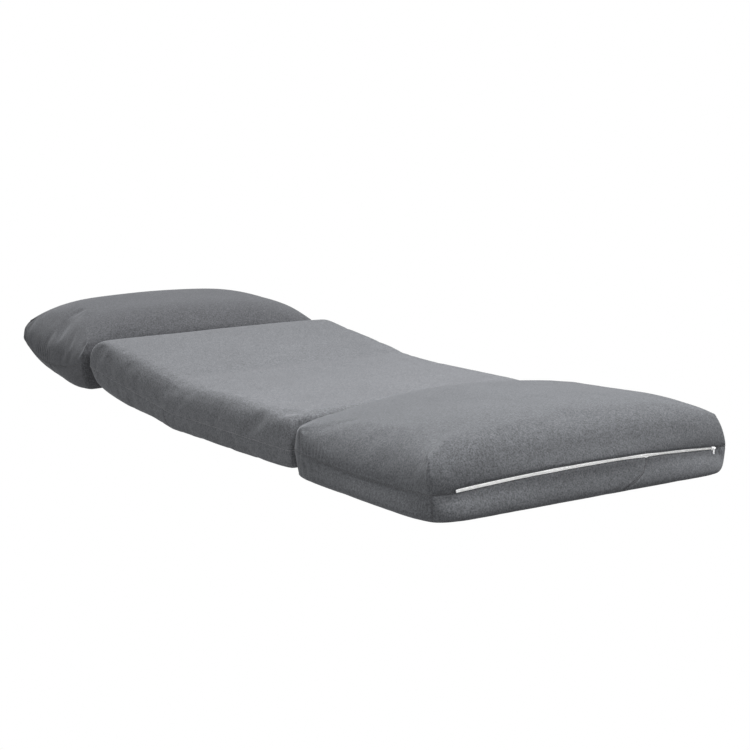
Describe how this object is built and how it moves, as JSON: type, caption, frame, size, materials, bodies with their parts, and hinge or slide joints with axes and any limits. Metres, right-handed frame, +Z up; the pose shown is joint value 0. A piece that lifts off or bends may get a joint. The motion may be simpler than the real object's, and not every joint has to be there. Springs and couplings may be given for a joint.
{
  "type": "convertible chair bed",
  "caption": "Fold-out floor chair bed: crowned foot cushion, bending slab on a ratchet-hinged steel frame, and crowned head cushion, shown unfolded flat.",
  "frame": {"origin": "on the floor under the middle of the object's box, unfolded flat", "axes": "+Z up, +Y along the bed from the foot cushion to the head cushion, +X across it"},
  "size_m": [0.69, 1.7617, 0.2104],
  "materials": {
    "suede_cover": "matte",
    "foam": "matte",
    "fibre_fill": "matte",
    "zip_white": "matte",
    "zip_metal": "satin",
    "frame_paint": "satin",
    "bright_steel": "satin",
    "hinge_steel": "satin"
  },
  "bodies": {
    "seat": {"seat_cover_top": "suede_cover", "seat_cover_base": "suede_cover", "seat_foam_upper": "foam", "seat_foam_lower": "foam", "bend_cover": "suede_cover", "bend_foam": "foam", "seat_frame": "frame_paint", "seat_cross_tube": "frame_paint", "seat_frame_rivets": "bright_steel", "hinge_housing_left": "hinge_steel", "hinge_housing_right": "hinge_steel", "hinge_pivot_pins": "bright_steel", "pawl_pins": "bright_steel", "pawl_spring_left": "bright_steel", "pawl_spring_right": "bright_steel", "foot_hinge_flap": "suede_cover"},
    "back": {"back_cover_top": "suede_cover", "back_cover_base": "suede_cover", "back_foam_upper": "foam", "back_foam_lower": "foam", "back_frame": "frame_paint", "back_cross_tube": "frame_paint", "back_frame_rivets": "bright_steel", "ratchet_sector_left": "hinge_steel", "ratchet_sector_right": "hinge_steel", "head_hinge_flap": "suede_cover"},
    "foot": {"foot_cover_top": "suede_cover", "foot_cover_base": "suede_cover", "foot_foam_core": "foam", "foot_fill_pad": "fibre_fill", "zip_tape": "zip_white", "zip_teeth": "zip_white", "zip_end_stops": "zip_metal"},
    "head": {"head_cover_top": "suede_cover", "head_cover_base": "suede_cover", "head_foam_core": "foam", "head_fill_pad": "fibre_fill"},
    "slider": {"zip_slider": "zip_metal"},
    "pull": {"zip_pull": "zip_metal"},
    "pawl_left": {"pawl_left": "hinge_steel"},
    "pawl_right": {"pawl_right": "hinge_steel"}
  },
  "joints": [
    {"name": "back_recline", "type": "hinge", "parent": "seat", "child": "back", "pos_m": [0, 0.072, 0.076], "axis": [1, 0, 0], "range_deg": [0, 66], "deforming": ["bend_cover", "bend_foam"]},
    {"name": "foot_flip", "type": "hinge", "parent": "seat", "child": "foot", "pos_m": [0, -0.404, 0.116], "axis": [-1, 0, 0], "range_deg": [0, 180], "deforming": ["foot_hinge_flap"]},
    {"name": "head_fold", "type": "hinge", "parent": "back", "child": "head", "pos_m": [0, 0.43782, 0.14913], "axis": [1, 0, 0], "range_deg": [0, 90], "deforming": ["head_hinge_flap"]},
    {"name": "zip_travel", "type": "hinge", "parent": "foot", "child": "slider", "pos_m": [0, 1.01811, -2.30085], "axis": [0, 0.7793, 0.6267], "range_deg": [-11.38, 0]},
    {"name": "pull_swing", "type": "hinge", "parent": "slider", "child": "pull", "pos_m": [0.31655, -0.87377, 0.04709], "axis": [-0.9945, -0.0654, 0.0814], "range_deg": [0, 170]},
    {"name": "pawl_lift_left", "type": "hinge", "parent": "seat", "child": "pawl_left", "pos_m": [-0.282, 0.054, 0.063], "axis": [1, 0, 0], "range_deg": [0, 10], "stiffness_Nm_per_rad": 0.05, "springref_deg": -17.19, "deforming": ["pawl_spring_left"]},
    {"name": "pawl_lift_right", "type": "hinge", "parent": "seat", "child": "pawl_right", "pos_m": [0.282, 0.054, 0.063], "axis": [1, 0, 0], "range_deg": [0, 10], "stiffness_Nm_per_rad": 0.05, "springref_deg": -17.19, "deforming": ["pawl_spring_right"]}
  ]
}
